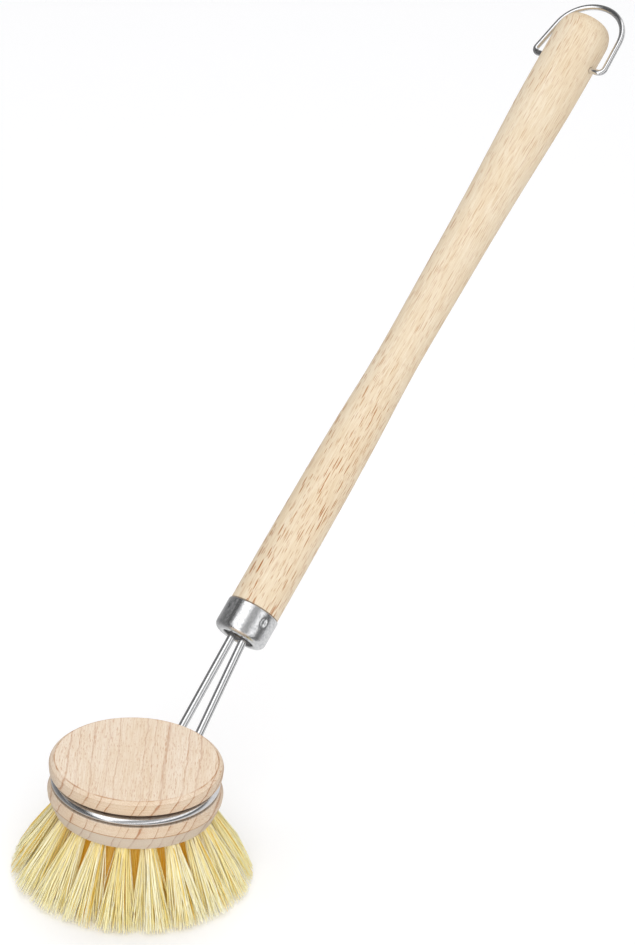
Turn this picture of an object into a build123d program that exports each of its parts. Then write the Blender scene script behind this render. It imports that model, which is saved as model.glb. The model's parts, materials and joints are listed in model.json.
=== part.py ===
from build123d import *
import math
import os

# Long-handled round brush with a replaceable wooden head.
#
# A turned beech handle ends in a pressed steel ferrule. A spring wire comes out of the ferrule as two
# legs, and its open ring grips a groove round the head, so the head turns in the ring. The head is a
# beech disc with 37 tufts of plant fibre, each held in its drilled hole by a small steel anchor. A wire
# loop swings on the far end of the handle.
#
# Frame: millimetres, +Z up, the head's axis on Z, the bristle tips at Z = 0, the handle towards +X.

# ---- head: the wooden disc ----
head_d = 50.4            # over the lower flange
head_h = 16.0            # thickness of the wood
upper_flange_inset = 0.2     # upper flange inside the lower one, radial
top_edge_inset = 1.5         # flat top inside the upper flange, radial
bottom_edge_inset = 2.2      # flat underside inside the lower flange, radial
groove_depth = 3.6           # under the lower flange, radial
groove_h = 4.0
lower_flange_h = 7.7         # underside to groove
lip_inset = 0.8              # the groove's lips inside the lower flange, radial
lip_round = 0.7
edge_slant_h = 4.6           # height of the slanted edge under the lower flange
edge_slant_inset = 0.2       # top of that slant inside the lower flange, radial
upper_flange_rise = 0.4      # widest line of the upper flange above its middle height
upper_taper = 0.35           # the upper flange draws in by this much, radial,
upper_taper_share = 0.45     # over this share of its upper half
lower_lip_drop = 1.6         # groove to the lower flange's full width
flange_round = 1.2           # roundings of the flanges, from the groove outwards:
upper_edge_round = 0.6
lower_edge_round = 0.5
face_round = 0.4

# ---- tufts ----
trim_h = 22.0            # free length of the bristles, straight down
tuft_wood = 2.481        # wood left between the rows of holes, at their mouths
tuft_edge_wood = 0.6     # wood left between the outer holes and the edge of the underside
tuft_hole_depth = 7.0
row_names = ("inner", "middle", "outer")   # rows round the centre tuft, with 6, 12 and 18 tufts
row_tilts = (8.0, 18.0, 27.0)              # outward lean of the rows, degrees
row_tip_ds = (6.2, 6.8, 7.2)               # tuft at its tip
centre_tip_d = 6.0
trim_spare = 1.0         # the tufts are made this much longer, then trimmed level
tuft_fit = 0.02          # tuft to hole, radial
flare_start = 1.4        # from the hole's mouth to where the tuft starts to spread
anchor_side_gap = 0.4    # from the tuft's side to its anchor
anchor_t = 0.4
anchor_in_tuft = 1.2
anchor_in_wood = 1.0

# ---- spring wire ----
wire_d = 2.5
ring_core_gap = 0.15     # wire to the groove's core, radial
ring_rest_gap = 0.2      # wire to the groove's lower wall
leg_lip_gap = 0.25       # legs to the lip of the upper flange
leg_bend_r = 2.5         # bend from the ring into a leg, on the wire's centre
leg_spread = 6.4         # between the legs' centres at the ring
leg_spread_top = 4.0     # between the legs' centres at the ferrule
leg_reach = 23.3         # level distance from the ring's bends to the ferrule
leg_slope = 47.5         # climb of the legs, degrees
wire_entry_gap = 0.5     # from the ferrule's closed end to the upper bend of the legs
wire_entry_r = 10.0      # that bend's radius, on the wire's centre
wire_end_depth = 24.0    # length of the wire's ends inside the handle
wire_end_gap = 0.5       # left empty at the bottom of their holes
wire_end_fit = 0.02      # wire to its drilled hole, radial

# ---- ferrule ----
ferrule_d = 16.0
ferrule_h = 9.5
ferrule_wall = 0.5
ferrule_corner_r = 2.0   # outside rounding of the closed end
recess_wire_gap = 1.45   # legs to the side of the round recess in the closed end
recess_h = 1.4           # depth of that recess
ferrule_hole_gap = 0.15  # legs to the edge of the hole in the recess
dimple_count = 4         # staking dimples that grip the wood
dimple_d = 2.6
dimple_depth = 0.3
dimple_from_rim = 3.1
dimple_turn = 65.3       # first dimple, degrees round the handle from +Y

# ---- handle ----
handle_side = 2.0        # the handle's plane passes this far beside the head's axis
handle_slope = 42.2      # degrees above level
handle_l = 206.7         # from the ferrule's rim to the far end
handle_neck_d = 15.25    # beside the ferrule
handle_waist_d = 12.65
handle_grip_d = 16.6
# Turned outline: share of the length, and radius as a share of the way from the waist to the neck,
neck_profile = ((0.0, 1.0), (0.15, 0.885), (0.315, 0.45))
# and then from the waist to the grip.
grip_profile = ((0.405, 0.0), (0.52, 0.08), (0.65, 0.28), (0.80, 0.78))
grip_straight = 22.0     # the grip is straight this far from the far end
end_round = 4.2          # rounding of the far end, across
end_round_l = 6.5        # and along the handle
end_fullness = 0.62      # how far that rounding stays full along the handle
end_flatness = 0.55      # and across the end
tenon_chamfer = 1.2
tenon_fit = 0.03         # tenon to ferrule, radial
tenon_end_gap = 0.1      # tenon to the back of the ferrule's recess

# ---- hanging loop ----
loop_wire_d = 1.8
loop_from_end = 14.7     # pivot to the handle's far end
loop_side_gap = 3.4      # wire to the handle's side
loop_end_gap = 6.1       # wire to the handle's far end
loop_lean = 1.4          # the legs of the loop draw in by this much on each side
loop_corner_r = 1.7
loop_foot = 5.0          # length of each foot inside the handle
loop_fit = 0.08          # foot to its hole, radial
loop_droop = -9.0        # rest angle from the handle's axis, degrees

# ---- positions that follow ----
lower_flange_r = head_d / 2
upper_flange_r = lower_flange_r - upper_flange_inset
lip_r = lower_flange_r - lip_inset
core_r = lower_flange_r - groove_depth
bottom_face_r = lower_flange_r - bottom_edge_inset
head_bottom_z = trim_h
head_top_z = trim_h + head_h
groove_low_z = trim_h + lower_flange_h
groove_high_z = groove_low_z + groove_h

wire_r = wire_d / 2
ring_r = core_r + ring_core_gap + wire_r
ring_z = groove_low_z + ring_rest_gap + wire_r

# The legs bend up just far enough out to pass the upper flange's lip.
slope = math.radians(leg_slope)
lip_drop = (groove_high_z - ring_z) * math.cos(slope)
leg_foot_r = max(lip_r + (wire_r + leg_lip_gap - lip_drop) / math.sin(slope), ring_r + wire_r / 2)
leg_foot_x = math.sqrt(leg_foot_r**2 - handle_side**2)
leg_top = Vector(leg_foot_x + leg_reach, handle_side, ring_z + leg_reach * math.tan(slope))

along = Vector(math.cos(math.radians(handle_slope)), 0, math.sin(math.radians(handle_slope)))
upper_side = Vector(-along.Z, 0, along.X)
side = Vector(0, 1, 0)
rim = leg_top + along * (ferrule_h + wire_entry_gap)

# Sketches of the handle and ferrule: first coordinate outwards, second along the handle from the rim.
handle_section = Plane(origin=rim, x_dir=upper_side, z_dir=side)
handle_axis = Axis(rim, along)


def across_handle(distance):
    """Plane square to the handle, this far from the ferrule's rim; its X is world Y."""
    return Plane(origin=rim + along * distance, x_dir=side, z_dir=along)


os.makedirs("parts", exist_ok=True)


def save(part, name):
    part.label = name
    export_step(part, f"parts/{name}.step")


# ---- handle ----
# Turned: a nearly straight neck, a slim waist and a fuller grip with a rounded end.
ferrule_inner_r = ferrule_d / 2 - ferrule_wall
tenon_r = ferrule_inner_r - tenon_fit
tenon_l = ferrule_h - recess_h - ferrule_wall - tenon_end_gap
grip_r = handle_grip_d / 2
waist_r = handle_waist_d / 2
neck_r = handle_neck_d / 2

outline = [(waist_r + share * (neck_r - waist_r), at * handle_l) for at, share in neck_profile]
outline += [(waist_r + share * (grip_r - waist_r), at * handle_l) for at, share in grip_profile]
outline += [(grip_r, handle_l - grip_straight)]
loop_pivot_t = handle_l - loop_from_end
end_start = handle_l - end_round_l

with BuildPart() as handle:
    with BuildSketch(handle_section):
        with BuildLine():
            Spline(*outline, tangents=[(0, 1), (0, 1)])
            Line(outline[-1], (grip_r, end_start))
            end_curve = Bezier(
                (grip_r, end_start),
                (grip_r, end_start + end_fullness * end_round_l),
                (grip_r - (1 - end_flatness) * end_round, handle_l),
                (grip_r - end_round, handle_l),
            )
            Polyline(
                end_curve @ 1,
                (0, handle_l),
                (0, -tenon_l),
                (tenon_r - tenon_chamfer, -tenon_l),
                (tenon_r, -tenon_l + tenon_chamfer),
                (tenon_r, 0),
                (neck_r, 0),
            )
        make_face()
    revolve(axis=handle_axis)
    with BuildSketch(across_handle(-tenon_l)):
        with Locations((-leg_spread_top / 2, 0), (leg_spread_top / 2, 0)):
            Circle(wire_r + wire_end_fit)
    extrude(amount=wire_end_depth + wire_end_gap, mode=Mode.SUBTRACT)
    with BuildSketch(handle_section):
        with Locations((0, loop_pivot_t)):
            Circle(loop_wire_d / 2 + loop_fit)
    extrude(amount=handle_grip_d, both=True, mode=Mode.SUBTRACT)
save(handle.part, "handle")

# ---- ferrule ----
# A drawn cup pushed over the tenon, with a round recess where the wire enters and four staking dimples.
wires_r = leg_spread_top / 2 + wire_r
hole_r = wires_r + ferrule_hole_gap
recess_r = wires_r + recess_wire_gap
corner_r = min(ferrule_corner_r, 0.6 * (ferrule_d / 2 - recess_r))   # the closed end keeps a flat rim
end_t = -ferrule_h
recess_t = end_t + recess_h
dimple_ball_r = (dimple_d**2 / 4 + dimple_depth**2) / (2 * dimple_depth)

with BuildPart() as ferrule:
    with BuildSketch(handle_section):
        with BuildLine():
            outside = FilletPolyline(
                (ferrule_d / 2, 0),
                (ferrule_d / 2, end_t),
                (recess_r, end_t),
                (recess_r, recess_t),
                (hole_r, recess_t),
                radius=[corner_r, ferrule_wall, ferrule_wall / 2],
            )
            inside = FilletPolyline(
                (hole_r, recess_t + ferrule_wall),
                (recess_r + ferrule_wall, recess_t + ferrule_wall),
                (recess_r + ferrule_wall, end_t + ferrule_wall),
                (ferrule_inner_r, end_t + ferrule_wall),
                (ferrule_inner_r, 0),
                radius=[ferrule_wall, ferrule_wall / 2, corner_r - ferrule_wall],
            )
            Line(outside @ 1, inside @ 0)
            Line(inside @ 1, outside @ 0)
        make_face()
    revolve(axis=handle_axis)
    with Locations(across_handle(-dimple_from_rim)):
        with PolarLocations(ferrule_d / 2 - dimple_depth + dimple_ball_r, dimple_count, dimple_turn):
            Sphere(dimple_ball_r, mode=Mode.SUBTRACT)
save(ferrule.part, "ferrule")

# ---- tufts: where each one sits ----
# The rows share the underside's radius evenly, and the tufts fill what the wood between them leaves.
outer_half_share = 0.5 / math.cos(math.radians(row_tilts[-1]))
rows = len(row_names)
tuft_d = ((bottom_face_r - tuft_edge_wood) / rows - tuft_wood) / (1 + outer_half_share / rows)
anchor_w = tuft_d - 2 * anchor_side_gap
outer_row_r = bottom_face_r - tuft_edge_wood - tuft_d * outer_half_share


def mouth_plane(row_r, turn, tilt):
    """Plane at a hole's mouth, facing along the tuft, downwards and outwards."""
    turn = math.radians(turn)
    tilt = math.radians(tilt)
    outward = Vector(math.cos(turn), math.sin(turn), 0)
    lean = outward * math.sin(tilt) - Vector(0, 0, math.cos(tilt))
    return Plane(
        origin=outward * row_r + Vector(0, 0, head_bottom_z),
        x_dir=(-outward.Y, outward.X, 0),
        z_dir=lean,
    )


tufts = [("tuft_centre", mouth_plane(0, 0, 0), 0, centre_tip_d)]
for row, (row_name, tilt, tip_d) in enumerate(zip(row_names, row_tilts, row_tip_ds), start=1):
    count = 6 * row
    row_r = outer_row_r * row / rows
    for n in range(count):
        mouth = mouth_plane(row_r, 360 / count * (n + 0.5), tilt)
        tufts.append((f"tuft_{row_name}_{n + 1}", mouth, tilt, tip_d))

# ---- head block ----
# A disc turned with two rounded flanges, the groove between them, and blind holes for the tufts.
upper_flange_z = (groove_high_z + head_top_z) / 2 + upper_flange_rise
top_edge_h = head_top_z - upper_flange_z

with BuildPart() as head_block:
    with BuildSketch(Plane.XZ):
        with BuildLine():
            upper = FilletPolyline(
                (core_r, groove_high_z),
                (lip_r + lip_round / 2, groove_high_z),
                (upper_flange_r, upper_flange_z),
                (upper_flange_r - upper_taper, upper_flange_z + upper_taper_share * top_edge_h),
                (upper_flange_r - top_edge_inset, head_top_z),
                (0, head_top_z),
                radius=[lip_round, flange_round, upper_edge_round, face_round],
            )
            lower = FilletPolyline(
                (core_r, groove_low_z),
                (lip_r, groove_low_z),
                (lower_flange_r, groove_low_z - lower_lip_drop),
                (lower_flange_r - edge_slant_inset, head_bottom_z + edge_slant_h),
                (bottom_face_r, head_bottom_z),
                (0, head_bottom_z),
                radius=[lip_round, flange_round, lower_edge_round, face_round],
            )
            Line(upper @ 0, lower @ 0)
            Line(upper @ 1, lower @ 1)
        make_face()
    revolve(axis=Axis.Z)
    for name, mouth, tilt, tip_d in tufts:
        with BuildSketch(mouth.offset(-tuft_hole_depth)):
            Circle(tuft_d / 2 + tuft_fit)
        extrude(amount=tuft_hole_depth + tuft_d, mode=Mode.SUBTRACT)
        with BuildSketch(mouth.offset(-tuft_hole_depth - anchor_in_wood)):
            Rectangle(anchor_w, anchor_t)
        extrude(amount=anchor_in_wood, mode=Mode.SUBTRACT)
save(head_block.part, "head_block")

# ---- tufts ----
# Straight in the hole and spreading below it, trimmed level, with a slot that the anchor fills.
for name, mouth, tilt, tip_d in tufts:
    lean = math.radians(tilt)
    tip_t = trim_h / math.cos(lean)
    spread = (tip_d - tuft_d) / 2 / (tip_t - flare_start)
    past_tip = tip_d / 2 * math.tan(lean) + trim_spare
    with BuildPart() as tuft:
        with BuildSketch(mouth.offset(-tuft_hole_depth)):
            Circle(tuft_d / 2)
        extrude(amount=tuft_hole_depth + flare_start)
        with BuildSketch(mouth.offset(flare_start)):
            Circle(tuft_d / 2)
        with BuildSketch(mouth.offset(tip_t + past_tip)):
            Circle(tip_d / 2 + spread * past_tip)
        loft()
        split(bisect_by=Plane.XY, keep=Keep.TOP)
        with BuildSketch(mouth.offset(-tuft_hole_depth)):
            Rectangle(anchor_w, anchor_t)
        extrude(amount=anchor_in_tuft, mode=Mode.SUBTRACT)
    save(tuft.part, name)

# ---- tuft anchors ----
# Flat steel slips, one across the bottom of each hole, half in the wood and half in the tuft.
with BuildPart() as tuft_anchors:
    for name, mouth, tilt, tip_d in tufts:
        with BuildSketch(mouth.offset(-tuft_hole_depth - anchor_in_wood)):
            Rectangle(anchor_w, anchor_t)
        extrude(amount=anchor_in_wood + anchor_in_tuft)
save(tuft_anchors.part, "tuft_anchors")

# ---- spring wire ----
# One wire: two legs held in the handle, and between them the open ring that lies in the groove.
def leg(hand):
    """Corners of one leg, from inside the handle to the ring; hand is +1 or -1 along Y."""
    foot_y = handle_side + hand * leg_spread / 2
    foot_turn = math.asin(foot_y / leg_foot_r)
    ring_turn = foot_turn + hand * math.acos(ring_r / leg_foot_r)
    entry = leg_top + side * (hand * leg_spread_top / 2)
    inside_end = entry + along * (wire_entry_gap + ferrule_h - tenon_l + wire_end_depth)
    foot = Vector(leg_foot_r * math.cos(foot_turn), foot_y, ring_z)
    on_ring = Vector(ring_r * math.cos(ring_turn), ring_r * math.sin(ring_turn), ring_z)
    return [inside_end, entry, foot, on_ring], math.degrees(ring_turn)


leg_points, first_turn = leg(1)
other_points, last_turn = leg(-1)
with BuildLine() as wire_line:
    first_leg = FilletPolyline(*leg_points, radius=[wire_entry_r, leg_bend_r])
    CenterArc((0, 0, ring_z), ring_r, first_turn, 360 + last_turn - first_turn)
    FilletPolyline(*reversed(other_points), radius=[leg_bend_r, wire_entry_r])

with BuildPart() as head_wire:
    with BuildSketch(Plane(origin=first_leg @ 0, z_dir=first_leg % 0)):
        Circle(wire_r)
    sweep(path=wire_line.line)
save(head_wire.part, "head_wire")

# ---- hanging loop ----
# Wire bent to a rounded bow, with its two feet sprung into the hole across the handle.
pivot = rim + along * loop_pivot_t
loop_turn = math.radians(handle_slope + loop_droop)
loop_plane = Plane(origin=pivot, x_dir=side, z_dir=(math.sin(loop_turn), 0, -math.cos(loop_turn)))
corner_y = grip_r + loop_side_gap + loop_wire_d / 2
bow_r = corner_y - loop_lean
bow_centre = loop_from_end + loop_end_gap + loop_wire_d / 2 - bow_r
bow_turn = math.degrees(
    math.acos(bow_r / math.hypot(corner_y, bow_centre)) - math.atan2(bow_centre, corner_y)
)
foot_in = grip_r - loop_foot

with BuildLine(loop_plane) as loop_line:
    bow = CenterArc((0, bow_centre), bow_r, bow_turn, 180 - 2 * bow_turn)
    right = FilletPolyline((foot_in, 0), (corner_y, 0), bow @ 0, radius=[loop_corner_r])
    FilletPolyline(bow @ 1, (-corner_y, 0), (-foot_in, 0), radius=[loop_corner_r])

with BuildPart() as hang_loop:
    with BuildSketch(Plane(origin=right @ 0, z_dir=side)):
        Circle(loop_wire_d / 2)
    sweep(path=loop_line.line)
save(hang_loop.part, "hang_loop")
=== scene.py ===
# %% [markdown]
# # A long-handled round brush
#
# This lesson dresses a finished engineering model of a brush. The model arrives as a fixed frame:
# every part is already in its place, in metres, with +Z up and the bristle tips on the ground.
# Nothing in the frame is moved. Each step looks at one piece or one finish of the real brush, says
# how it could be made, and makes it.

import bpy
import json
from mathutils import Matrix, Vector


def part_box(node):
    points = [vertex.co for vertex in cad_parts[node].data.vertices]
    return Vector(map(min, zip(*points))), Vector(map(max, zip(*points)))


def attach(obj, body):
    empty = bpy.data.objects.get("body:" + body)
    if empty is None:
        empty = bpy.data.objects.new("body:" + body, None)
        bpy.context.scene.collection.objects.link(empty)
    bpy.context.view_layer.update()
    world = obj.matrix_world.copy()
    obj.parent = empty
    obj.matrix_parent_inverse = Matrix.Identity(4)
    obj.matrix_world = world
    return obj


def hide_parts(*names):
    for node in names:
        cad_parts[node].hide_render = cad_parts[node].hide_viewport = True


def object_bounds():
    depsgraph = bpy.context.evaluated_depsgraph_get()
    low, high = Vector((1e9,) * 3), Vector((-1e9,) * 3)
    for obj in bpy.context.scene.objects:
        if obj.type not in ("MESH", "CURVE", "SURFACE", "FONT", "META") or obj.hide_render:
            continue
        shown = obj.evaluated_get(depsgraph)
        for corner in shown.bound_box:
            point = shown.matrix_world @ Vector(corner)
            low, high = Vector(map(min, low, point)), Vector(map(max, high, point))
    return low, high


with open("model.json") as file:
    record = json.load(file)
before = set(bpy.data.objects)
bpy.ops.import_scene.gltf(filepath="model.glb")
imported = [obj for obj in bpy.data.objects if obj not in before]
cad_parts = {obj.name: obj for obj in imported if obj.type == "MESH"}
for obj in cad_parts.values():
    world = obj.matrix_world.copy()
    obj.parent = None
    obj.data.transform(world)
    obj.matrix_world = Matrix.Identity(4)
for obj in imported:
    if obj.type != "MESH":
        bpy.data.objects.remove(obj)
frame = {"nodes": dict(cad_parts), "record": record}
cad_low, cad_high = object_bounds()

# %% Names used all the way through
import json
import math
import random

import bmesh
import bpy
from mathutils import Matrix, Vector

MM = 0.001
scene = bpy.context.scene


def joint(name):
    """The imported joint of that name."""
    return next(j for j in frame["record"]["behaviour"]["joints"] if j["name"] == name)


def srgb(red, green, blue):
    """A colour given as 0 to 255 screen values, made linear as shaders want it."""
    channels = []
    for value in (red / 255, green / 255, blue / 255):
        channels.append(value / 12.92 if value <= 0.04045 else ((value + 0.055) / 1.055) ** 2.4)
    return (*channels, 1.0)


# %% [markdown]
# ## Where the handle runs
#
# The handle and the ferrule share one axis. It passes through the pivot of the hanging loop, which
# the frame's joint gives, and climbs at a fixed slope. Three directions are enough for all that
# follows: along the handle, out of it towards the viewer, and across it.

# %% The handle's axis
pivot = Vector(joint("loop_swing")["pos_m"])
handle_slope = math.radians(42.2)
along = Vector((math.cos(handle_slope), 0, math.sin(handle_slope)))
pivot_from_rim = 192.0 * MM
rim = pivot - along * pivot_from_rim
print("ferrule rim at", [round(c, 4) for c in rim])

# %% [markdown]
# ## The camera
#
# A product picture is taken from far away with a long lens, so that lines stay nearly parallel. The
# camera looks from the left and above, a metre and a half away, and is rolled a few degrees, which
# sets the handle on the picture's diagonal. It is aimed at a point a little off the middle of the
# object's box.

# %% Camera
view_azimuth = math.radians(-54.129)
view_elevation = math.radians(27.298)
view_roll = math.radians(3.384)
view_distance = 1.5
aim = (cad_low + cad_high) / 2 + Vector((-32.1, -15.2, 10.0)) * MM

towards_camera = Vector((
    math.sin(view_azimuth) * math.cos(view_elevation),
    -math.cos(view_azimuth) * math.cos(view_elevation),
    math.sin(view_elevation),
))
level = Vector((math.cos(view_azimuth), math.sin(view_azimuth), 0))
upright = towards_camera.cross(level)
picture_right = math.cos(view_roll) * level + math.sin(view_roll) * upright
picture_up = towards_camera.cross(picture_right)

camera_data = bpy.data.cameras.new("camera")
camera_data.lens = 200.85
camera_data.sensor_width = 36
camera_data.clip_start = 0.1
camera_data.clip_end = 20
camera = bpy.data.objects.new("camera", camera_data)
scene.collection.objects.link(camera)
turn = Matrix((picture_right, picture_up, towards_camera)).transposed()
camera.matrix_world = Matrix.Translation(aim + towards_camera * view_distance) @ turn.to_4x4()
scene.camera = camera
print("camera at", [round(c, 3) for c in camera.matrix_world.translation])

# Out of the handle towards the viewer, and across it to the picture's right.
facing = (towards_camera - towards_camera.dot(along) * along).normalized()
across = along.cross(facing)

# %% [markdown]
# ## A small helper for node trees
#
# Materials are trees of nodes. Writing `tree.nodes.new` and `tree.links.new` over and over hides the
# idea of a material, so a small class adds a node with its settings and its inputs in one call. An
# input may be a number, a colour or another node's output.

# %% Node helper
class Tree:
    """Adds nodes to a node tree, and joins them."""

    def __init__(self, tree):
        self.tree = tree

    def add(self, kind, inputs=None, **settings):
        node = self.tree.nodes.new(kind)
        for name, value in settings.items():
            setattr(node, name, value)
        for name, value in (inputs or {}).items():
            if isinstance(value, bpy.types.NodeSocket):
                self.tree.links.new(value, node.inputs[name])
            else:
                node.inputs[name].default_value = value
        return node

    def math(self, operation, first, second=0.0, third=0.0, clamp=False):
        inputs = {0: first, 1: second}
        if operation in ("MULTIPLY_ADD", "COMPARE"):
            inputs[2] = third
        return self.add("ShaderNodeMath", inputs, operation=operation, use_clamp=clamp).outputs[0]

    def vector(self, operation, first, second=(0, 0, 0)):
        node = self.add("ShaderNodeVectorMath", {0: first, 1: second}, operation=operation)
        return node.outputs["Value" if operation in ("DOT_PRODUCT", "LENGTH") else "Vector"]

    def mix(self, factor, first, second, blend="MIX"):
        inputs = {0: factor, 6: first, 7: second}
        node = self.add("ShaderNodeMix", inputs, data_type="RGBA", blend_type=blend)
        return node.outputs[2]

    def step(self, value, low, high, low_out=0.0, high_out=1.0):
        """A soft step: low_out below low, high_out above high."""
        inputs = {"Value": value, 1: low, 2: high, 3: low_out, 4: high_out}
        return self.add("ShaderNodeMapRange", inputs, interpolation_type="SMOOTHSTEP").outputs[0]

    def noise(self, vector, scale, detail=2.0, rough=0.5):
        inputs = {"Vector": vector, "Scale": scale, "Detail": detail, "Roughness": rough}
        return self.add("ShaderNodeTexNoise", inputs)

    def ramp(self, value, stops, interpolation="EASE"):
        node = self.add("ShaderNodeValToRGB", {0: value})
        node.color_ramp.interpolation = interpolation
        while len(node.color_ramp.elements) < len(stops):
            node.color_ramp.elements.new(0.5)
        for element, (position, colour) in zip(node.color_ramp.elements, stops):
            element.position = position
            element.color = colour if isinstance(colour, tuple) else (colour, colour, colour, 1)
        return node.outputs[0]


def new_group(name, inputs, outputs):
    """A shader node group with these sockets; returns the group, its input node and its tree."""
    group = bpy.data.node_groups.new(name, "ShaderNodeTree")
    for socket, kind, value in inputs:
        made = group.interface.new_socket(socket, in_out="INPUT", socket_type="NodeSocket" + kind)
        if value is not None:
            made.default_value = value
    for socket, kind in outputs:
        group.interface.new_socket(socket, in_out="OUTPUT", socket_type="NodeSocket" + kind)
    tree = Tree(group)
    return group, tree.add("NodeGroupInput").outputs, tree


def new_material(name):
    """An empty material; returns it, its tree and its Principled node."""
    material = bpy.data.materials.new(name)
    material.use_nodes = True
    material.node_tree.nodes.clear()
    tree = Tree(material.node_tree)
    shader = tree.add("ShaderNodeBsdfPrincipled")
    tree.add("ShaderNodeOutputMaterial", {"Surface": shader.outputs[0]})
    return material, tree, shader


# %% [markdown]
# ## Floor
#
# The brush stands on a plain white table. The floor is a large flat sheet that carries on past every
# edge of the picture, so that there is no horizon to look at. It gives off a little light of its
# own, so that it stays white where the lamps are weak. The metal doesn't mirror it.

# %% Floor
floor_size = 8.0
floor_glow = 0.10
floor_mesh = bpy.data.meshes.new("floor")
shape = bmesh.new()
bmesh.ops.create_grid(shape, x_segments=1, y_segments=1, size=floor_size / 2)
shape.to_mesh(floor_mesh)
shape.free()
floor = bpy.data.objects.new("floor", floor_mesh)
scene.collection.objects.link(floor)
floor_paint, tree, shader = new_material("floor_white")
shader.inputs["Base Color"].default_value = (0.93, 0.93, 0.93, 1)
shader.inputs["Roughness"].default_value = 0.9
shader.inputs["Specular IOR Level"].default_value = 0.0
shader.inputs["Emission Color"].default_value = (1, 1, 1, 1)
shader.inputs["Emission Strength"].default_value = floor_glow
floor_mesh.materials.append(floor_paint)
floor.visible_glossy = False
print("floor", floor_size, "m across")

# %% [markdown]
# ## Light
#
# Wood and bristle want broad soft light, and bright metal wants something to reflect. These are two
# different jobs. Three large soft lamps and a pale sky do the first one. For the second, mirror-like
# reflections see the same sky with light and dark bands round the handle's axis, as a photographer
# gets by standing strips of white and black card round a shiny tube.

# %% Soft lamps
lamps = (
    # name, direction from the brush, distance, width, power
    ("key_lamp", Vector((-0.45, -0.30, 0.80)), 1.2, 1.0, 4.8),
    ("front_lamp", Vector((-0.75, -0.62, 0.24)), 1.3, 0.9, 6.0),
    ("back_lamp", Vector((0.55, 0.40, 1.0)), 1.3, 0.8, 4.6),
)
for name, direction, distance, width, power in lamps:
    lamp_data = bpy.data.lights.new(name, "AREA")
    lamp_data.shape = "SQUARE"
    lamp_data.size = width
    lamp_data.energy = power
    lamp = bpy.data.objects.new(name, lamp_data)
    scene.collection.objects.link(lamp)
    lamp.location = aim + direction.normalized() * distance
    lamp.rotation_mode = "QUATERNION"
    lamp.rotation_quaternion = direction.to_track_quat("Z", "Y")
    lamp.visible_glossy = False
print("lamps:", len(lamps))

# %% Sky, with bands for the metal to reflect
sky = bpy.data.worlds.new("studio")
scene.world = sky
sky.use_nodes = True
sky.node_tree.nodes.clear()
tree = Tree(sky.node_tree)
direction = tree.add("ShaderNodeTexCoord").outputs["Generated"]
turn_round = tree.math(
    "ARCTAN2",
    tree.vector("DOT_PRODUCT", direction, across),
    tree.vector("DOT_PRODUCT", direction, facing),
)
share = tree.math("MULTIPLY_ADD", turn_round, 0.5 / math.pi, 0.5)
bands = tree.ramp(share, (
    # share of the way round, brightness
    (0.00, 0.60), (0.18, 0.24), (0.235, 0.10), (0.25, 0.55), (0.265, 0.10),
    (0.33, 0.09), (0.37, 1.50), (0.455, 1.50), (0.49, 0.42), (0.56, 0.46),
    (0.60, 1.20), (0.64, 1.10), (0.67, 0.12), (0.72, 0.18), (0.78, 0.80),
))
path = tree.add("ShaderNodeLightPath").outputs
soft_white = (0.56, 0.56, 0.57, 1)
seen = tree.mix(path["Is Glossy Ray"], soft_white, bands)
seen = tree.mix(path["Is Camera Ray"], seen, (1, 1, 1, 1))
background = tree.add("ShaderNodeBackground", {"Color": seen})
tree.add("ShaderNodeOutputWorld", {"Surface": background.outputs[0]})
scene.view_settings.view_transform = "Standard"
scene.view_settings.look = "None"
scene.cycles.diffuse_bounces = 10
print("sky bands ready")

# %% [markdown]
# ## Beech wood
#
# Beech is pale and even. Three things tell the eye that it is beech: growth rings a few millimetres
# apart, each with a thin darker line on one side; rays, which are thin plates that run from the pith
# outwards and show as short brown dashes on one face and as broad flecks on the face next to it; and
# fine fibre streaks. All three are solid patterns, so they are worked out from the place inside the
# wood and turn the right way on every face and at the end grain.
#
# The group takes a place in millimetres, with X along the grain, Y across the rays and Z along them,
# measured from the pith. It puts out a colour, a roughness and a height.

# %% Beech node group
beech, given, tree = new_group(
    "beech",
    [
        ("Place", "Vector", None),
        ("Pale", "Color", srgb(240, 222, 195)),
        ("Ring Line", "Color", srgb(212, 170, 132)),
        ("Ray", "Color", srgb(196, 138, 88)),
        ("Ring Spacing", "Float", 3.0),
        ("Ring Strength", "Float", 0.5),
        ("Ray Strength", "Float", 0.7),
        ("Ray Size", "Vector", (1.0, 1.0, 1.0)),
        ("End Grain", "Float", 0.0),
    ],
    [("Color", "Color"), ("Roughness", "Float"), ("Height", "Float")],
)
place = given["Place"]

# The log is never quite straight, so the place is pushed about gently first.
stretched = tree.vector("MULTIPLY", place, (0.012, 0.05, 0.05))
sway = tree.noise(stretched, 1.0, 1.0).outputs["Color"]
sway = tree.vector("SUBTRACT", sway, (0.5, 0.5, 0.5))
swayed = tree.vector("ADD", place, tree.vector("MULTIPLY", sway, (0.0, 2.6, 2.6)))
rippled = tree.vector("MULTIPLY", place, (0.10, 0.16, 0.16))
ripple = tree.noise(rippled, 1.0, 3.0, 0.6).outputs["Color"]
ripple = tree.vector("SUBTRACT", ripple, (0.5, 0.5, 0.5))
wavy = tree.vector("ADD", swayed, tree.vector("MULTIPLY", ripple, (0.0, 2.2, 2.2)))
parts = tree.add("ShaderNodeSeparateXYZ", {0: wavy}).outputs

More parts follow.
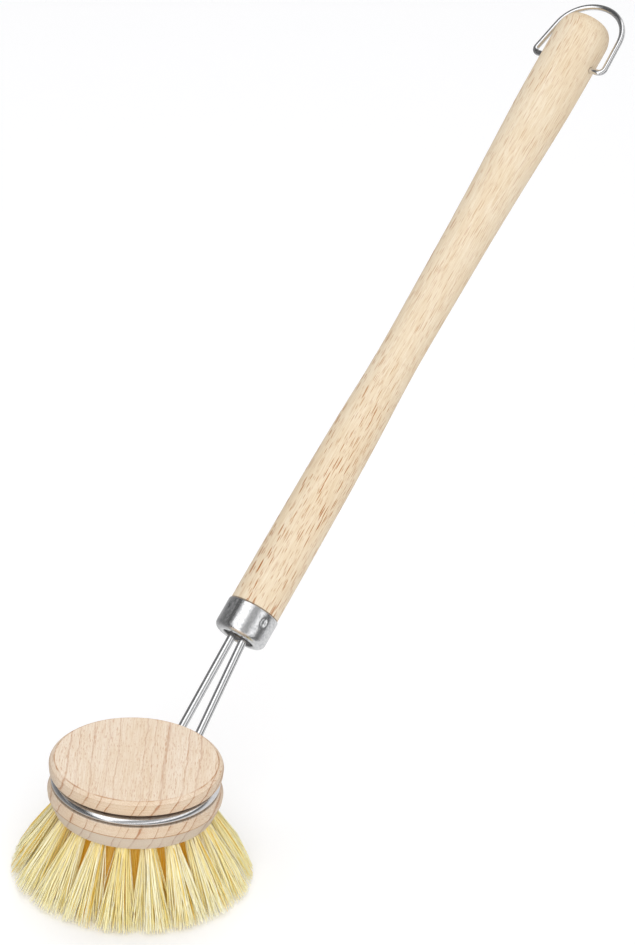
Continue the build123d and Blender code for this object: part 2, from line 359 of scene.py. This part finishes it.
# Growth rings: distance from the pith, with unequal years.
over_squared = tree.math("MULTIPLY", parts[1], parts[1])
out_squared = tree.math("MULTIPLY", parts[2], parts[2])
from_pith = tree.math("POWER", tree.math("ADD", over_squared, out_squared), 0.5)
year_inputs = {"W": tree.math("MULTIPLY", from_pith, 0.11), "Scale": 1.0, "Detail": 1.0}
unequal = tree.add("ShaderNodeTexNoise", year_inputs, noise_dimensions="1D").outputs[0]
years = tree.math("MULTIPLY_ADD", unequal, 2.4, tree.math("DIVIDE", from_pith, given["Ring Spacing"]))
year = tree.math("FRACT", years)
late_wood = ((0.0, 0.3), (0.04, 0.0), (0.6, 0.03), (0.87, 0.18), (0.93, 1.0), (0.98, 1.0), (1.0, 0.3))
ring = tree.ramp(year, late_wood)
ring_patches = tree.noise(tree.vector("MULTIPLY", place, (0.03, 0.12, 0.12)), 1.0, 2.0).outputs[0]
ring = tree.math("MULTIPLY", ring, tree.step(ring_patches, 0.3, 0.62, 0.35, 1.0))
ring = tree.math("MULTIPLY", ring, given["Ring Strength"])


def ray_lenses(cell, half_size):
    """One lens-shaped plate in each cell, sizes in millimetres; a mask and a random value per cell."""
    to_cells = tuple(1 / c for c in cell)
    spot = tree.vector("MULTIPLY", ray_place, to_cells)
    cells = tree.add("ShaderNodeTexVoronoi", {"Vector": spot, "Scale": 1.0, "Randomness": 1.0})
    chance = tree.add("ShaderNodeSeparateColor", {0: cells.outputs["Color"]}).outputs
    from_middle = tree.vector("SUBTRACT", spot, cells.outputs["Position"])
    to_lens = tuple(c / h for c, h in zip(cell, half_size))
    size = tree.math("MULTIPLY_ADD", chance[2], 0.7, 0.5)
    away = tree.math("DIVIDE", tree.vector("LENGTH", tree.vector("MULTIPLY", from_middle, to_lens)), size)
    return tree.step(away, 0.55, 1.0, 1.0, 0.0), chance


# Rays: plates 3 to 6 mm tall, about a quarter of a millimetre thick and 1 to 3 mm deep.
ray_place = tree.vector("DIVIDE", swayed, given["Ray Size"])
lens, chance = ray_lenses((4.8, 0.56, 2.6), (2.6, 0.15, 1.2))
clusters = tree.noise(tree.vector("MULTIPLY", place, (0.03, 0.12, 0.12)), 1.0, 2.0).outputs[0]
ray = tree.math("MULTIPLY", lens, tree.step(chance[0], 0.05, 0.55, 0.1, 1.0))
ray = tree.math("MULTIPLY", ray, tree.step(clusters, 0.32, 0.60, 0.55, 1.0))
fine_lens, fine_chance = ray_lenses((2.9, 0.42, 1.5), (1.3, 0.10, 0.7))
fine_ray = tree.math("MULTIPLY", fine_lens, tree.step(fine_chance[0], 0.05, 0.7, 0.0, 0.7))
ray = tree.math("MAXIMUM", ray, fine_ray)
ray = tree.math("MULTIPLY", ray, given["Ray Strength"])
ray = tree.math("MULTIPLY", ray, tree.math("MULTIPLY_ADD", given["End Grain"], -0.75, 1.0))

# Fibre streaks and slow drifts of tone.
streaks = tree.noise(tree.vector("MULTIPLY", swayed, (0.12, 3.2, 3.2)), 1.0, 3.0, 0.65).outputs[0]
drift = tree.noise(tree.vector("MULTIPLY", place, (0.014, 0.07, 0.07)), 1.0, 2.0).outputs[0]
pores = tree.noise(tree.vector("MULTIPLY", place, (1.2, 6.5, 6.5)), 1.0, 1.0).outputs[0]

colour = tree.mix(ring, given["Pale"], given["Ring Line"])
warm = tree.mix(1.0, colour, (0.93, 0.86, 0.76, 1), "MULTIPLY")
colour = tree.mix(tree.step(drift, 0.35, 0.7, 0.0, 0.5), colour, warm)
dark = tree.mix(1.0, colour, (0.86, 0.78, 0.68, 1), "MULTIPLY")
colour = tree.mix(tree.step(streaks, 0.42, 0.66, 0.0, 0.6), colour, dark)
light = tree.mix(0.36, colour, (1, 0.96, 0.88, 1))
colour = tree.mix(tree.step(streaks, 0.30, 0.48, 0.5, 0.0), colour, light)
tanned = tree.mix(1.0, colour, (0.90, 0.84, 0.76, 1), "MULTIPLY")
colour = tree.mix(tree.math("MULTIPLY", given["End Grain"], 0.6), colour, tanned)
speck_depth = tree.math("MULTIPLY_ADD", given["End Grain"], 0.5, 0.18)
specks = tree.math("MULTIPLY", tree.step(pores, 0.55, 0.68), speck_depth)
colour = tree.mix(specks, colour, dark)
colour = tree.mix(ray, colour, given["Ray"])

height = tree.math("MULTIPLY_ADD", streaks, 0.5, tree.math("MULTIPLY", ray, -0.4))
height = tree.math("MULTIPLY_ADD", pores, -0.25, height)
height = tree.math("MULTIPLY_ADD", ring, 0.3, height)
rough = tree.math("MULTIPLY_ADD", streaks, 0.12, 0.52)
rough = tree.math("MULTIPLY_ADD", ray, -0.08, rough)
tree.add("NodeGroupOutput", {"Color": colour, "Roughness": rough, "Height": height})
print("beech group:", len(beech.nodes), "nodes")


# %% Turning a piece's own coordinates to the grain
def place_in_mm(tree):
    """The surface's own place, in millimetres."""
    own_place = tree.add("ShaderNodeTexCoord").outputs["Object"]
    return tree.vector("MULTIPLY", own_place, (1 / MM, 1 / MM, 1 / MM))


def grain_place(tree, grain, rays, pith):
    """Object coordinates in millimetres, along the grain, across the rays and along them.

    A Mapping node scales, then turns, then moves, so the turn's rows are the three directions.
    """
    grain = grain.normalized()
    rays = (rays - rays.dot(grain) * grain).normalized()
    over = rays.cross(grain)
    turn = Matrix((grain, over, rays)).to_euler()
    mapping = tree.add("ShaderNodeMapping", {
        "Vector": tree.add("ShaderNodeTexCoord").outputs["Object"],
        "Scale": (1 / MM, 1 / MM, 1 / MM),
        "Rotation": turn,
        "Location": pith,
    })
    return mapping.outputs[0]


def end_grain(tree, grain):
    """How squarely the surface cuts the grain, from 0 to 1."""
    normal = tree.add("ShaderNodeTexCoord").outputs["Normal"]
    square = tree.math("ABSOLUTE", tree.vector("DOT_PRODUCT", normal, grain.normalized()))
    return tree.step(square, 0.25, 0.95)


def wood_material(name, grain, rays, pith, **values):
    material, tree, shader = new_material(name)
    wood = tree.add("ShaderNodeGroup", node_tree=beech)
    tree.tree.links.new(grain_place(tree, grain, rays, pith), wood.inputs["Place"])
    tree.tree.links.new(end_grain(tree, grain), wood.inputs["End Grain"])
    for socket, value in values.items():
        wood.inputs[socket.replace("_", " ")].default_value = value
    tree.tree.links.new(wood.outputs["Color"], shader.inputs["Base Color"])
    tree.tree.links.new(wood.outputs["Roughness"], shader.inputs["Roughness"])
    bumps = {"Height": wood.outputs["Height"], "Distance": 0.1 * MM, "Strength": 0.5}
    tree.tree.links.new(tree.add("ShaderNodeBump", bumps).outputs[0], shader.inputs["Normal"])
    shader.inputs["Specular IOR Level"].default_value = 0.3
    return material, tree, shader, wood


def dress(node, material):
    """Gives a CAD node this material."""
    for slot in frame["nodes"][node].material_slots:
        slot.material = material


# %% [markdown]
# ## The handle
#
# The handle is turned from one straight stick, so the grain runs along it. The stick was cut with
# its rays pointing nearly at the viewer: the face in view shows dashes, and the sides show the same
# rays broadside, as flecks.

# %% Handle wood
rays_turn = 0.25     # radians, from the viewer towards the right
handle_pith = (40.0, 12.0, -70.0)
rays_out = math.cos(rays_turn) * facing + math.sin(rays_turn) * across
handle_beech, tree, shader, wood = wood_material(
    "handle_beech", along, rays_out, handle_pith,
    Pale=srgb(230, 215, 190), Ring_Line=srgb(206, 172, 132), Ray=srgb(166, 96, 18),
    Ring_Spacing=5.0, Ring_Strength=0.10,
)

# The rays are strong beside the ferrule and fade towards the grip.
rays_strong_to = 30.0
rays_faint_from = 120.0
faint_rays = 0.45
place = tree.add("ShaderNodeTexCoord").outputs["Object"]
from_rim = tree.vector("DOT_PRODUCT", tree.vector("SUBTRACT", place, tuple(rim)), tuple(along / MM))
ray_strength = tree.step(from_rim, rays_strong_to, rays_faint_from, 1.0, faint_rays)
tree.tree.links.new(ray_strength, wood.inputs["Ray Strength"])

# A thin dark line of painted shade lies in the corner where the wood leaves the ferrule.
painted_shade_width = 0.5
edge = tree.step(from_rim, 0.4 * painted_shade_width, painted_shade_width, 1.0, 0.0)
shadowed = tree.mix(1.0, wood.outputs["Color"], (0.16, 0.13, 0.12, 1), "MULTIPLY")
colour = tree.mix(tree.math("MULTIPLY", edge, 0.85), wood.outputs["Color"], shadowed)
tree.tree.links.new(colour, shader.inputs["Base Color"])
dress("handle", handle_beech)
print("handle dressed:", len(frame["nodes"]["handle"].data.polygons), "faces")

# %% [markdown]
# ## The head
#
# The round head is turned from a board, so the grain lies flat in it and the rings cross its top as
# lines. The front and back of the rim are end grain, which soaks up light and looks tanner.

# %% Head wood
head_low, head_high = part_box("head_block")
head_grain = Vector((0.81, 0.586, 0.0))
grain_side = Vector((0.586, -0.81, 0.0))
head_rays = Vector((0, 0, 0.447)) - 0.894 * grain_side     # they climb one in two
head_pith = (0.0, 26.8, 53.7)
head_beech, tree, shader, wood = wood_material(
    "head_beech", head_grain, head_rays, head_pith,
    Pale=srgb(240, 224, 204), Ring_Line=srgb(184, 128, 86), Ray=srgb(186, 118, 62),
    Ring_Spacing=3.6, Ray_Strength=0.45, Ray_Size=(0.5, 0.5, 0.7),
)
print("head wood for a head", round((head_high.x - head_low.x) / MM, 1), "mm across")

# %% Marks that the lathe left on the head
# The places of the marks, in millimetres: radius from the turning axis, and height.
flat_top_inset = 1.7     # edge of the flat top inside the head's widest line
crease_h = 4.6           # crease under the rim, from the underside
groove_from_base = 7.7   # lower side of the groove, from the underside
groove_h = 4.0
groove_lip_inset = 0.8   # lips of the groove inside the head's widest line
head_r = (head_high.x - head_low.x) / 2 / MM
top_arris_r = head_r - flat_top_inset
top_z = head_high.z / MM
crease_z = head_low.z / MM + crease_h
groove_low_z = head_low.z / MM + groove_from_base
groove_high_z = groove_low_z + groove_h
groove_lip_r = head_r - groove_lip_inset

place = place_in_mm(tree)
height_up = tree.add("ShaderNodeSeparateXYZ", {0: place}).outputs[2]
radius = tree.vector("LENGTH", tree.vector("MULTIPLY", place, (1, 1, 0)))
normal = tree.add("ShaderNodeTexCoord").outputs["Normal"]
faces_up = tree.math("ABSOLUTE", tree.add("ShaderNodeSeparateXYZ", {0: normal}).outputs[2])
turned = tree.step(faces_up, 0.55, 0.98, 1.0, 0.0)

# Rings are clearer on the turned rim than on the flat faces.
rings_on_flat = 0.42
rings_added_on_rim = 0.45
ring_strength = tree.math("MULTIPLY_ADD", turned, rings_added_on_rim, rings_on_flat)
tree.tree.links.new(ring_strength, wood.inputs["Ring Strength"])


def thin_line(value, middle, half_width):
    """1 where the value is at the middle, 0 beyond the half width."""
    away = tree.math("ABSOLUTE", tree.math("SUBTRACT", value, middle))
    return tree.step(away, 0.3 * half_width, half_width, 1.0, 0.0)


def darken(colour, factor, tint):
    """The colour multiplied by the tint, as far as the factor says."""
    return tree.mix(factor, colour, tree.mix(1.0, colour, (*tint, 1), "MULTIPLY"))


# The turned rim is greyer than the flat faces, and paler below the crease.
colour = darken(wood.outputs["Color"], tree.math("MULTIPLY", turned, 0.9), (0.82, 0.81, 0.80))
paler = tree.mix(0.45, colour, srgb(186, 180, 174))
colour = tree.mix(tree.step(height_up, crease_z - 0.3, crease_z, 1.0, 0.0), colour, paler)

# Fine lines run round the rim where the tool cut.
round_the_axis = tree.add("ShaderNodeCombineXYZ", {0: radius, 1: height_up}).outputs[0]
lathe_lines = tree.noise(tree.vector("MULTIPLY", round_the_axis, (1.6, 2.6, 1)), 1.0, 3.0, 0.7).outputs[0]
lathe_mark = tree.math("MULTIPLY", tree.step(lathe_lines, 0.48, 0.66), tree.math("MULTIPLY", turned, 0.5))
colour = darken(colour, lathe_mark, (0.82, 0.74, 0.66))

# A broken dark line follows the edge of the flat top, and another the crease under the rim.
near_top = tree.step(height_up, top_z - 0.6, top_z - 0.4)
arris = tree.math("MULTIPLY", thin_line(radius, top_arris_r, 0.28), near_top)
arris = tree.math("MAXIMUM", arris, tree.math("MULTIPLY", thin_line(height_up, crease_z, 0.24), turned))
broken = tree.noise(tree.vector("MULTIPLY", place, (0.16, 0.16, 0.5)), 1.0, 3.0).outputs[0]
arris = tree.math("MULTIPLY", arris, tree.step(broken, 0.34, 0.58, 0.15, 0.95))
colour = darken(colour, arris, (0.66, 0.48, 0.36))

# Painted shade darkens the groove, where the lips keep the light out.
inside_lips = tree.step(radius, groove_lip_r - 0.5, groove_lip_r, 1.0, 0.0)
above_floor = tree.step(height_up, groove_low_z - 0.2, groove_low_z + 0.2)
below_roof = tree.step(height_up, groove_high_z - 0.2, groove_high_z + 0.2, 1.0, 0.0)
groove_shade = tree.math("MULTIPLY", inside_lips, tree.math("MULTIPLY", above_floor, below_roof))
colour = darken(colour, groove_shade, (0.34, 0.30, 0.30))
tree.tree.links.new(colour, shader.inputs["Base Color"])
dress("head_block", head_beech)
print("top arris at radius", round(top_arris_r, 2), "mm; crease at height", round(crease_z, 2), "mm")

# %% [markdown]
# ## Bright metal
#
# The wire and the ferrule are bright plated steel. A perfect mirror would look like a drawing, so
# the shine is broken by faint mottling and by scratches that run along the drawn wire.

# %% Metal node group
worn, given, tree = new_group(
    "worn_plating",
    [
        ("Place", "Vector", None),
        ("Bright", "Color", (0.80, 0.80, 0.81, 1)),
        ("Dull", "Color", (0.55, 0.56, 0.58, 1)),
        ("Shine", "Float", 0.16),
        ("Mottle", "Float", 0.5),
    ],
    [("Color", "Color"), ("Roughness", "Float"), ("Height", "Float")],
)
place = given["Place"]
mottle = tree.noise(place, 1.3, 5.0, 0.65).outputs[0]
fine = tree.noise(place, 4.5, 3.0, 0.6).outputs[0]
scratches = tree.noise(tree.vector("MULTIPLY", place, (0.25, 7.0, 7.0)), 1.0, 2.0).outputs[0]
spots = tree.math("MULTIPLY", tree.step(mottle, 0.42, 0.66), given["Mottle"])
colour = tree.mix(spots, given["Bright"], given["Dull"])
rough = tree.math("MULTIPLY_ADD", fine, 0.12, given["Shine"])
rough = tree.math("MULTIPLY_ADD", spots, 0.12, rough)
height = tree.math("MULTIPLY_ADD", fine, 0.5, tree.math("MULTIPLY", scratches, 0.6))
height = tree.math("MULTIPLY_ADD", mottle, 0.8, height)
tree.add("NodeGroupOutput", {"Color": colour, "Roughness": rough, "Height": height})
print("plating group:", len(worn.nodes), "nodes")


def metal_material(name, grain, bump_depth, **values):
    material, tree, shader = new_material(name)
    metal = tree.add("ShaderNodeGroup", node_tree=worn)
    side_on = Vector((0, 1, 0)) if abs(grain.normalized().y) < 0.9 else Vector((1, 0, 0))
    tree.tree.links.new(grain_place(tree, grain, side_on, (0, 0, 0)), metal.inputs["Place"])
    for socket, value in values.items():
        metal.inputs[socket].default_value = value
    tree.tree.links.new(metal.outputs["Color"], shader.inputs["Base Color"])
    tree.tree.links.new(metal.outputs["Roughness"], shader.inputs["Roughness"])
    bumps = {"Height": metal.outputs["Height"], "Distance": bump_depth, "Strength": 1.0}
    tree.tree.links.new(tree.add("ShaderNodeBump", bumps).outputs[0], shader.inputs["Normal"])
    shader.inputs["Metallic"].default_value = 1.0
    return material, tree, shader, metal


# %% Wire and anchors
wire_steel, *_ = metal_material("wire_steel", along, 0.006 * MM, Shine=0.10, Mottle=0.35)
anchor_steel, *_ = metal_material("anchor_steel", Vector((0, 0, 1)), 0.01 * MM, Shine=0.3, Mottle=0.6)
dress("head_wire", wire_steel)
dress("hang_loop", wire_steel)
dress("tuft_anchors", anchor_steel)
print("wire faces:", len(frame["nodes"]["head_wire"].data.polygons))

# %% Ferrule steel
ferrule_steel, tree, shader, metal = metal_material(
    "ferrule_steel", along, 0.028 * MM, Shine=0.12, Mottle=0.6)

# Painted shade darkens the recess in the ferrule's closed end, and dulls the wooden head's reflection
# there.
recess_shade_r = 5.3
plated = metal.outputs["Color"]
from_rim_point = tree.vector("SUBTRACT", tree.add("ShaderNodeTexCoord").outputs["Object"], tuple(rim))
off_axis = tree.vector("LENGTH", tree.vector("CROSS_PRODUCT", from_rim_point, tuple(along / MM)))
shaded_steel = tree.mix(1.0, plated, (0.22, 0.21, 0.20, 1), "MULTIPLY")
colour = tree.mix(tree.step(off_axis, recess_shade_r - 1.0, recess_shade_r, 0.9, 0.0), plated, shaded_steel)
tree.tree.links.new(colour, shader.inputs["Base Color"])
# How far from the axis the painted recess shade reaches.
print("grime within", recess_shade_r, "mm of the axis")

# %% [markdown]
# ## The ferrule
#
# The ferrule is a cup drawn from thin steel. Its lip is rounded, its closed end has a round recess
# where the wire enters, and four punch marks stake it to the wood. Spinning one outline round an
# axis gives the cup, and bevels round its corners. Then the wall's points near each punch mark are
# pushed inwards, as a punch pushes the real sheet. Last, the cup is stood on the handle's axis.

# %% The ferrule's cup
ferrule_r = 8.0 * MM
ferrule_h = 9.5 * MM
ferrule_wall = 0.5 * MM
recess_r = 4.7 * MM
recess_h = 1.4 * MM
wire_hole_r = 3.4 * MM
inner_r = ferrule_r - ferrule_wall
recess_floor = -ferrule_h + recess_h
turns = 176
near = 0.01 * MM

cup_outline = (
    # radius, distance along the handle from the rim
    (inner_r, 0), (ferrule_r, 0), (ferrule_r, -ferrule_h), (recess_r, -ferrule_h),
    (recess_r, recess_floor), (wire_hole_r, recess_floor), (wire_hole_r, recess_floor + ferrule_wall),
    (recess_r + ferrule_wall, recess_floor + ferrule_wall),
    (recess_r + ferrule_wall, -ferrule_h + ferrule_wall), (inner_r, -ferrule_h + ferrule_wall),
)
cup_bevels = (
    # corner, size, segments
    ((ferrule_r, 0), 0.22 * MM, 3), ((ferrule_r, -ferrule_h), 1.98 * MM, 10),
    ((recess_r, -ferrule_h), 0.45 * MM, 4), ((recess_r, recess_floor), 0.3 * MM, 3),
    ((inner_r, -ferrule_h + ferrule_wall), 1.4 * MM, 6),
)

cup = bmesh.new()
corners = [cup.verts.new((r, 0, t)) for r, t in cup_outline]
outline = [cup.edges.new((a, b)) for a, b in zip(corners, corners[1:] + corners[:1])]
bmesh.ops.spin(cup, geom=corners + outline, cent=(0, 0, 0), axis=(0, 0, 1), angle=2 * math.pi,
               steps=turns, use_merge=True)
bmesh.ops.remove_doubles(cup, verts=cup.verts, dist=0.001 * MM)
bmesh.ops.recalc_face_normals(cup, faces=cup.faces)


def is_at(vertex, corner):
    """Whether the vertex came from this corner of the outline."""
    from_axis = math.hypot(vertex.co.x, vertex.co.y)
    return math.hypot(from_axis - corner[0], vertex.co.z - corner[1]) < near


for corner, size, segments in cup_bevels:
    ring_edges = [edge for edge in cup.edges if all(is_at(v, corner) for v in edge.verts)]
    bmesh.ops.bevel(cup, geom=ring_edges, affect="EDGES", offset=size, offset_type="OFFSET",
                    segments=segments, profile=0.5, material=-1, clamp_overlap=False)

# The outer wall is cut into short steps, so that the punch marks have points to push.
wall_cuts = 34
long_edges = [edge for edge in cup.edges if abs(edge.verts[0].co.z - edge.verts[1].co.z) > ferrule_h / 2
              and math.hypot(edge.verts[0].co.x, edge.verts[0].co.y) > ferrule_r - near]
bmesh.ops.subdivide_edges(cup, edges=long_edges, cuts=wall_cuts, use_grid_fill=True)
print("cup:", len(cup.faces), "faces")

# %% Punch marks
punch_count = 4
punch_from_rim = 3.1 * MM
punch_turn = math.radians(65.3)
punch_r = 1.35 * MM
punch_across = 0.85        # the mark is an oval, narrower across the handle
punch_along = 1.2          # than along it
punch_flat = 0.72          # share of the mark's radius that is pushed in fully
punch_depth = 0.42 * MM
punch_edge = 0.05 * MM     # extra dent round the flat bottom of the mark

for vertex in cup.verts:
    from_axis = math.hypot(vertex.co.x, vertex.co.y)
    if from_axis < ferrule_r - near:
        continue
    pushed = 0.0
    for n in range(punch_count):
        angle = math.atan2(vertex.co.y, vertex.co.x) - punch_turn - n * 2 * math.pi / punch_count
        angle = (angle + math.pi) % (2 * math.pi) - math.pi
        aside = angle * ferrule_r / punch_across
        away = math.hypot(aside, (vertex.co.z + punch_from_rim) / punch_along) / punch_r
        if away < 1.5:
            pushed += punch_depth * math.exp(-(away / punch_flat) ** 4)
            pushed += punch_edge * math.exp(-((away - 0.8) / 0.5) ** 2)
    vertex.co.x *= 1 - pushed / from_axis
    vertex.co.y *= 1 - pushed / from_axis

# The outline's X becomes world Y and its Z runs along the handle.
side_way = Vector((0, 1, 0))
stand = Matrix((side_way, along.cross(side_way), along)).transposed().to_4x4()
bmesh.ops.transform(cup, matrix=Matrix.Translation(rim) @ stand, verts=cup.verts)
bmesh.ops.recalc_face_normals(cup, faces=cup.faces)
cup_mesh = bpy.data.meshes.new("ferrule_cup")
cup.to_mesh(cup_mesh)
cup.free()
cup_mesh.shade_smooth()
cup_mesh.materials.append(ferrule_steel)
ferrule = bpy.data.objects.new("ferrule_cup", cup_mesh)
scene.collection.objects.link(ferrule)
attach(ferrule, "handle")
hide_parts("ferrule")

# %% [markdown]
# ## Bristles
#
# Each of the 37 tufts is a bunch of stiff plant fibres, folded over its anchor and driven into its
# hole. The bunch leaves the hole tightly packed and spreads towards the trimmed end. Particle hair
# would not export as a surface, so every fibre is a thin curve with a four-sided section, and the
# curves of one tuft are turned into one mesh. No fibre reaches past the model's box: a tip that
# would is drawn in towards the head's axis.

# %% Where each tuft stands
underside_z = head_low.z
row_names = ("inner", "middle", "outer")
row_leans = (8.0, 18.0, 27.0)
row_tip_sizes = (6.2 * MM, 6.8 * MM, 7.2 * MM)
root_size = 4.2 * MM
outer_row_r = 20.03 * MM
reach_spare = 0.2 * MM
reach = -cad_low.x - reach_spare
tufts = [("tuft_centre", Vector((0, 0, 0)), 0.0, Vector((1, 0, 0)), 6.0 * MM)]
for row, (row_name, lean, tip_size) in enumerate(zip(row_names, row_leans, row_tip_sizes), start=1):
    count = 6 * row
    for n in range(count):
        turn = 2 * math.pi / count * (n + 0.5)
        outward = Vector((math.cos(turn), math.sin(turn), 0))
        foot = outward * outer_row_r * row / len(row_names)
        tufts.append((f"tuft_{row_name}_{n + 1}", foot, math.radians(lean), outward, tip_size))
print("tufts:", len(tufts))

# %% Bristle colour
bristle, tree, shader = new_material("bristle_fibre")
tone = tree.add("ShaderNodeAttribute", attribute_name="tone").outputs["Fac"]
rise = tree.add("ShaderNodeAttribute", attribute_name="rise").outputs["Fac"]
fibre_colour = tree.ramp(tone, (
    (0.0, srgb(220, 172, 62)), (0.07, srgb(240, 212, 114)), (0.22, srgb(248, 237, 170)),
    (0.65, srgb(250, 245, 206)), (1.0, srgb(250, 250, 230)),
), "LINEAR")
# A deep amber, used both for the fibres' darker tone at the roots and for painted glow.
root_tone_and_painted_glow = tree.mix(0.85, fibre_colour, srgb(232, 188, 34))
# Each tuft's share of painted glow, set when the tufts are planted.
painted_light_share = tree.add("ShaderNodeAttribute", attribute_name="painted_light_share").outputs["Fac"]
# Towards the roots the fibres turn amber: partly their own tone, partly painted shade and bounced light
# among the packed fibres.
colour = tree.mix(tree.step(rise, 0.0, 0.35, 0.25, 0.0), fibre_colour, root_tone_and_painted_glow)
# Painted glow: the fibres are tinted amber, most away from their tips, for light bounced and passed among
# them.
painted_glow_mask = tree.math("MULTIPLY", painted_light_share, tree.step(rise, 0.45, 0.95, 1.0, 0.15))
colour = tree.mix(painted_glow_mask, colour, root_tone_and_painted_glow)
pale_tip = tree.mix(0.6, fibre_colour, srgb(250, 247, 228))
colour = tree.mix(tree.step(rise, 0.82, 1.0), colour, pale_tip)
place = place_in_mm(tree)
bands_along = tree.noise(tree.vector("MULTIPLY", place, (1.0, 1.0, 0.35)), 1.4, 3.0).outputs[0]
dull = tree.mix(1.0, colour, (0.95, 0.87, 0.62, 1), "MULTIPLY")
colour = tree.mix(tree.step(bands_along, 0.50, 0.75, 0.0, 0.6), colour, dull)
tree.tree.links.new(colour, shader.inputs["Base Color"])
tree.tree.links.new(tree.math("MULTIPLY_ADD", bands_along, 0.25, 0.32), shader.inputs["Roughness"])
rippled = tree.add("ShaderNodeBump", {"Height": bands_along, "Distance": 0.03 * MM, "Strength": 0.6})
tree.tree.links.new(rippled.outputs[0], shader.inputs["Normal"])
shader.inputs["Specular IOR Level"].default_value = 0.45

# Painted glow: emission stands in for light that soaks through the packed fibres, and leaves the inner
# rows glowing amber though they are no lamp.
glow_strength = 0.20
glow = tree.mix(painted_glow_mask, (0, 0, 0, 1), srgb(210, 170, 12))
tree.tree.links.new(glow, shader.inputs["Emission Color"])
shader.inputs["Emission Strength"].default_value = glow_strength
print("bristle colour:", len(bristle.node_tree.nodes), "nodes")

# %% One tuft of fibres
fibres_per_tuft = 190
fibre_r = 0.15 * MM
in_hole = 3.0 * MM
packed = 0.93            # share of the root's width that the fibres fill
splay = 1.12             # spread of the tips, against the tuft's size there
wider_sideways = 1.5     # the tuft's tip is an oval, wider
wider_outwards = 1.25    # along the rim than away from it
opening = 1.25           # above 1, a tuft opens mostly towards its tip
tip_taper = 0.55         # thickness at the very tip, as a share
shares = (0.0, 0.18, 0.42, 0.7, 1.0)


def fibre_points(rng, foot, lean, outward, tip_size):
    """One fibre's centre line, from inside the hole to the trimmed tip."""
    sideways = Vector((-outward.y, outward.x, 0))
    down = outward * math.sin(lean) - Vector((0, 0, math.cos(lean)))
    out_of_tuft = outward * math.cos(lean) + Vector((0, 0, math.sin(lean)))
    angle = rng.uniform(0, 2 * math.pi)
    from_centre = math.sqrt(rng.random())
    root_offset = from_centre * root_size / 2 * packed
    root = (math.cos(angle) * sideways + math.sin(angle) * out_of_tuft) * root_offset

    # One fibre in ten strays from its place in the bunch.
    stray = rng.gauss(0, 0.07) if rng.random() < 0.9 else rng.gauss(0, 0.35)
    angle += stray
    spread = from_centre * rng.uniform(0.75, 1.22) * tip_size / 2 * splay
    tip = math.cos(angle) * sideways * wider_sideways + math.sin(angle) * out_of_tuft * wider_outwards
    tip *= spread
    length = (underside_z - rng.uniform(0.05, 1.3) * MM) / math.cos(lean)
    bow = (sideways * rng.gauss(0, 0.45) + out_of_tuft * rng.gauss(0.12, 0.35)) * MM
    start = Vector((foot.x, foot.y, underside_z))
    points = [start + root - down * in_hole]
    for share in shares:
        opened = share ** opening
        offset = root.lerp(tip, opened) + bow * math.sin(math.pi * share)
        points.append(start + down * (length * share) + offset)

    # The bunch is trimmed near the ground, but not quite evenly.
    low = rng.uniform(0.07, 0.95) * MM
    last, before = points[-1], points[-2]
    cut = (before.z - low) / (before.z - last.z)
    points[-1] = before.lerp(last, min(cut, 1.15))
    level = math.hypot(points[-1].x, points[-1].y)
    if level > reach:
        points[-1] = Vector((points[-1].x * reach / level, points[-1].y * reach / level, points[-1].z))
    return points


def tuft_mesh(name, foot, lean, outward, tip_size, seed):
    """All the fibres of one tuft as one mesh, and a random tone for each fibre."""
    rng = random.Random(seed)
    curve = bpy.data.curves.new(name, "CURVE")
    curve.dimensions = "3D"
    curve.bevel_depth = 1.0
    curve.bevel_resolution = 0
    curve.use_fill_caps = True
    tones = []
    for _ in range(fibres_per_tuft):
        points = fibre_points(rng, foot, lean, outward, tip_size)
        spline = curve.splines.new("POLY")
        spline.points.add(len(points) - 1)
        thick = fibre_r * rng.uniform(0.75, 1.15)
        for place, (point, target) in enumerate(zip(spline.points, points)):
            point.co = (*target, 1.0)
            point.radius = thick * (tip_taper if place == len(points) - 1 else 1.0)
        tones.append(rng.random() ** 0.8)
    maker = bpy.data.objects.new(name + "_curves", curve)
    scene.collection.objects.link(maker)
    mesh = bpy.data.meshes.new_from_object(maker.evaluated_get(bpy.context.evaluated_depsgraph_get()))
    bpy.data.objects.remove(maker)
    bpy.data.curves.remove(curve)
    mesh.name = name
    return mesh, tones


print("fibres:", fibres_per_tuft * len(tufts))

# %% Plant the tufts
# How much painted glow each tuft gets: much in the inner rows, little in the outer row.
glow_inside = 0.8
glow_outside = 0.07
for seed, (name, foot, lean, outward, tip_size) in enumerate(tufts):
    mesh, tones = tuft_mesh(name + "_fibres", foot, lean, outward, tip_size, seed)
    per_fibre = len(mesh.vertices) // fibres_per_tuft
    tone = mesh.attributes.new("tone", "FLOAT", "POINT")
    tone.data.foreach_set("value", [tones[i // per_fibre] for i in range(len(mesh.vertices))])
    painted_light_share = mesh.attributes.new("painted_light_share", "FLOAT", "POINT")
    glow_share = glow_outside if "outer" in name else glow_inside
    painted_light_share.data.foreach_set("value", [glow_share] * len(mesh.vertices))
    rise = mesh.attributes.new("rise", "FLOAT", "POINT")
    rise.data.foreach_set("value", [min(max(1 - v.co.z / underside_z, 0), 1) for v in mesh.vertices])
    mesh.materials.clear()
    mesh.materials.append(bristle)
    piece = bpy.data.objects.new(name + "_fibres", mesh)
    scene.collection.objects.link(piece)
    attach(piece, "head")
    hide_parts(name)
    if seed == 0:
        print("per fibre:", per_fibre, "vertices,", len(mesh.polygons) // fibres_per_tuft, "faces;",
              "left over:", len(mesh.vertices) - per_fibre * fibres_per_tuft)
